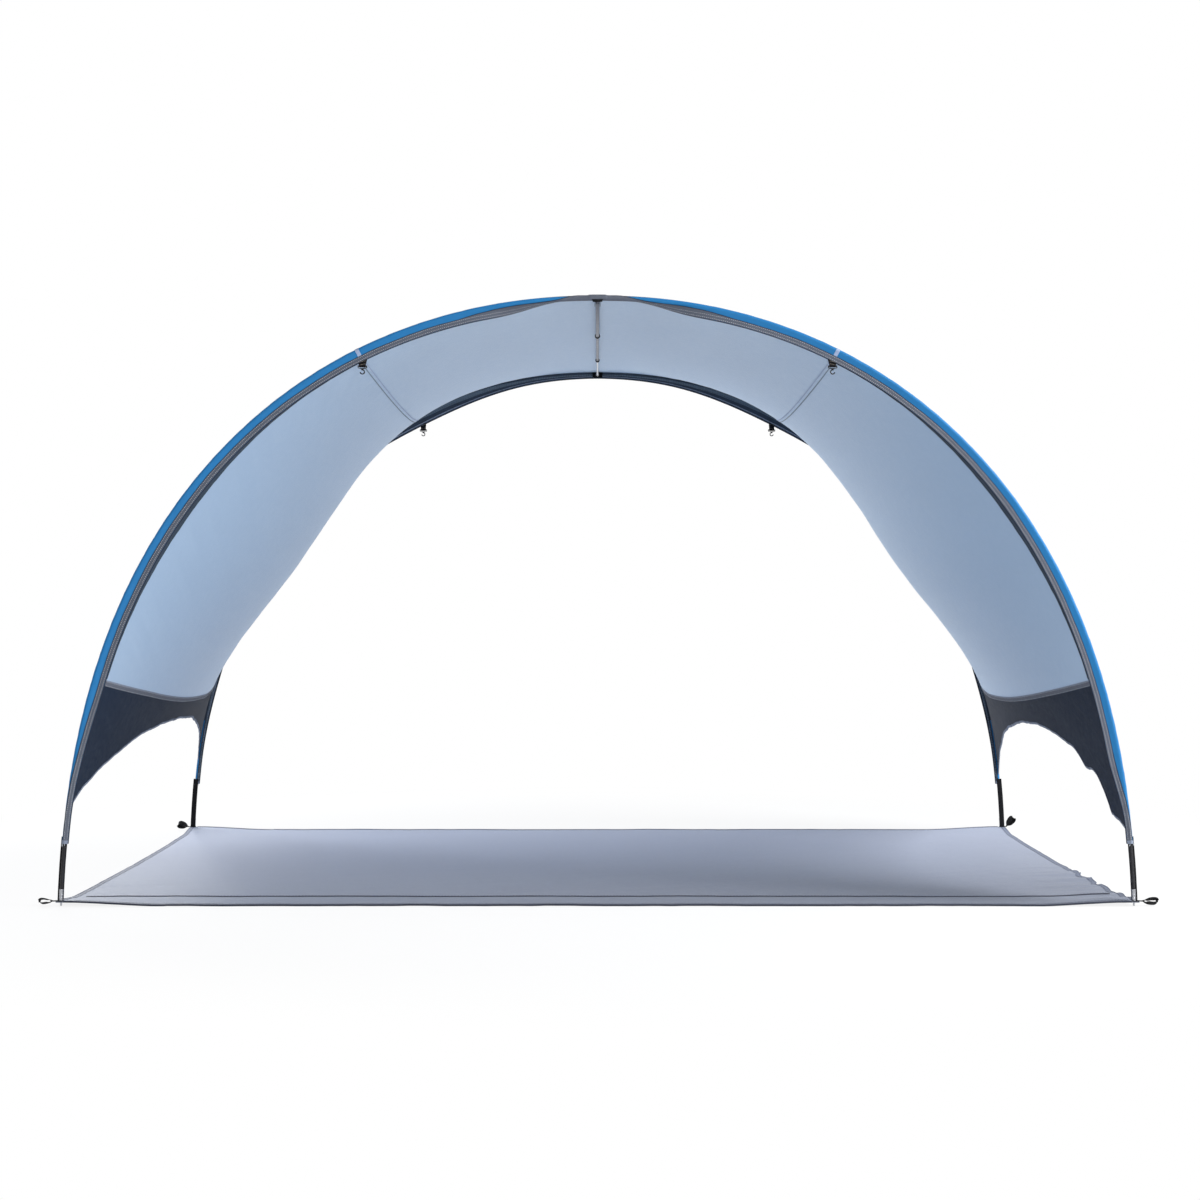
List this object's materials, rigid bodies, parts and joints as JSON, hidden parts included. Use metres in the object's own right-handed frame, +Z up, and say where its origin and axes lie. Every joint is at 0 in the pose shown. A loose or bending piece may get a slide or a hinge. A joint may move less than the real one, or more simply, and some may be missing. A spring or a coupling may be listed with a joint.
{
  "type": "beach tent",
  "caption": "Open arch beach shelter with sprung hoop poles in fabric sleeves, a stretched canopy with side skirts, a telescopic ridge pole, a ground sheet, side hooks and stake loops.",
  "frame": {"origin": "on the ground, in the middle of the floor", "axes": "+Z up, +X along the wide side between the feet of a hoop, the front hoop at -Y"},
  "size_m": [2.868, 1.804, 1.5571],
  "materials": {
    "canopy_cloth": "coated polyester, satin silver-blue inside",
    "skirt_cloth": "navy polyester, matt",
    "sleeve_cloth": "blue polyester, matt, grey bound seam",
    "floor_cloth": "grey coated polyester",
    "webbing": "black woven webbing",
    "hook_plastic": "black moulded plastic",
    "fibre_rod": "black glass-fibre rod with a plain ferrule",
    "shock_cord": "elastic cord",
    "bright_metal": "bright plated metal",
    "ridge_metal": "satin tube"
  },
  "bodies": {
    "root": {"eyelet_front_left": "bright_metal", "eyelet_front_right": "bright_metal", "eyelet_rear_left": "bright_metal", "eyelet_rear_right": "bright_metal", "front_pole_section_1": "fibre_rod", "front_pole_section_2": "fibre_rod", "front_pole_section_3": "fibre_rod", "front_pole_section_4": "fibre_rod", "front_pole_section_5": "fibre_rod", "front_pole_section_6": "fibre_rod", "front_pole_section_7": "fibre_rod", "front_shock_cord": "shock_cord", "front_sleeve": "sleeve_cloth", "ground_sheet": "floor_cloth", "hook_tab_front_left": "webbing", "hook_tab_front_right": "webbing", "hook_tab_rear_left": "webbing", "hook_tab_rear_right": "webbing", "left_side_panel": "canopy_cloth", "left_skirt": "skirt_cloth", "leg_strap_front_left": "webbing", "leg_strap_front_right": "webbing", "leg_strap_rear_left": "webbing", "leg_strap_rear_right": "webbing", "pole_tip_front_left": "bright_metal", "pole_tip_front_right": "bright_metal", "pole_tip_rear_left": "bright_metal", "pole_tip_rear_right": "bright_metal", "rear_pole_section_1": "fibre_rod", "rear_pole_section_2": "fibre_rod", "rear_pole_section_3": "fibre_rod", "rear_pole_section_4": "fibre_rod", "rear_pole_section_5": "fibre_rod", "rear_pole_section_6": "fibre_rod", "rear_pole_section_7": "fibre_rod", "rear_shock_cord": "shock_cord", "rear_sleeve": "sleeve_cloth", "ridge_pocket_front": "webbing", "ridge_pocket_rear": "webbing", "right_side_panel": "canopy_cloth", "right_skirt": "skirt_cloth", "roof_panel": "canopy_cloth"},
    "hook_front_left": {"side_hook_front_left": "hook_plastic"},
    "loop_front_left": {"stake_loop_front_left": "webbing"},
    "hook_front_right": {"side_hook_front_right": "hook_plastic"},
    "loop_front_right": {"stake_loop_front_right": "webbing"},
    "hook_rear_left": {"side_hook_rear_left": "hook_plastic"},
    "loop_rear_left": {"stake_loop_rear_left": "webbing"},
    "hook_rear_right": {"side_hook_rear_right": "hook_plastic"},
    "loop_rear_right": {"stake_loop_rear_right": "webbing"},
    "ridge_outer": {"ridge_tube_outer": "ridge_metal", "ridge_collar_front": "hook_plastic"},
    "ridge_middle": {"ridge_tube_middle": "ridge_metal", "ridge_collar_rear": "hook_plastic"},
    "ridge_inner": {"ridge_tube_inner": "ridge_metal", "ridge_tip": "bright_metal"}
  },
  "joints": [
    {"name": "ridge_swing", "type": "hinge", "parent": "root", "child": "ridge_outer", "pos_m": [0, -0.86995, 1.54076], "axis": [-1, 0, 0], "range_deg": [0, 55]},
    {"name": "ridge_slide_middle", "type": "slide", "parent": "ridge_outer", "child": "ridge_middle", "axis": [0, -1, 0], "range_m": [0, 0.58]},
    {"name": "ridge_slide_inner", "type": "slide", "parent": "ridge_middle", "child": "ridge_inner", "axis": [0, -1, 0], "range_m": [0, 0.39]},
    {"name": "loop_fold_front_left", "type": "hinge", "parent": "root", "child": "loop_front_left", "pos_m": [-1.384, -0.89, 0.0121], "axis": [0, 1, 0], "range_deg": [-5, 90]},
    {"name": "hook_swing_front_left", "type": "hinge", "parent": "root", "child": "hook_front_left", "pos_m": [-0.59922, -0.89, 1.37534], "axis": [1, 0, 0], "range_deg": [-90, 90]},
    {"name": "loop_fold_front_right", "type": "hinge", "parent": "root", "child": "loop_front_right", "pos_m": [1.384, -0.89, 0.0121], "axis": [0, -1, 0], "range_deg": [-5, 90]},
    {"name": "hook_swing_front_right", "type": "hinge", "parent": "root", "child": "hook_front_right", "pos_m": [0.59922, -0.89, 1.37534], "axis": [1, 0, 0], "range_deg": [-90, 90]},
    {"name": "loop_fold_rear_left", "type": "hinge", "parent": "root", "child": "loop_rear_left", "pos_m": [-1.384, 0.89, 0.0121], "axis": [0, 1, 0], "range_deg": [-19, 76]},
    {"name": "hook_swing_rear_left", "type": "hinge", "parent": "root", "child": "hook_rear_left", "pos_m": [-0.59029, 0.89, 1.35747], "axis": [1, 0, 0], "range_deg": [-90, 90]},
    {"name": "loop_fold_rear_right", "type": "hinge", "parent": "root", "child": "loop_rear_right", "pos_m": [1.384, 0.89, 0.0121], "axis": [0, -1, 0], "range_deg": [-55, 40]},
    {"name": "hook_swing_rear_right", "type": "hinge", "parent": "root", "child": "hook_rear_right", "pos_m": [0.59029, 0.89, 1.35747], "axis": [1, 0, 0], "range_deg": [-90, 90]}
  ]
}
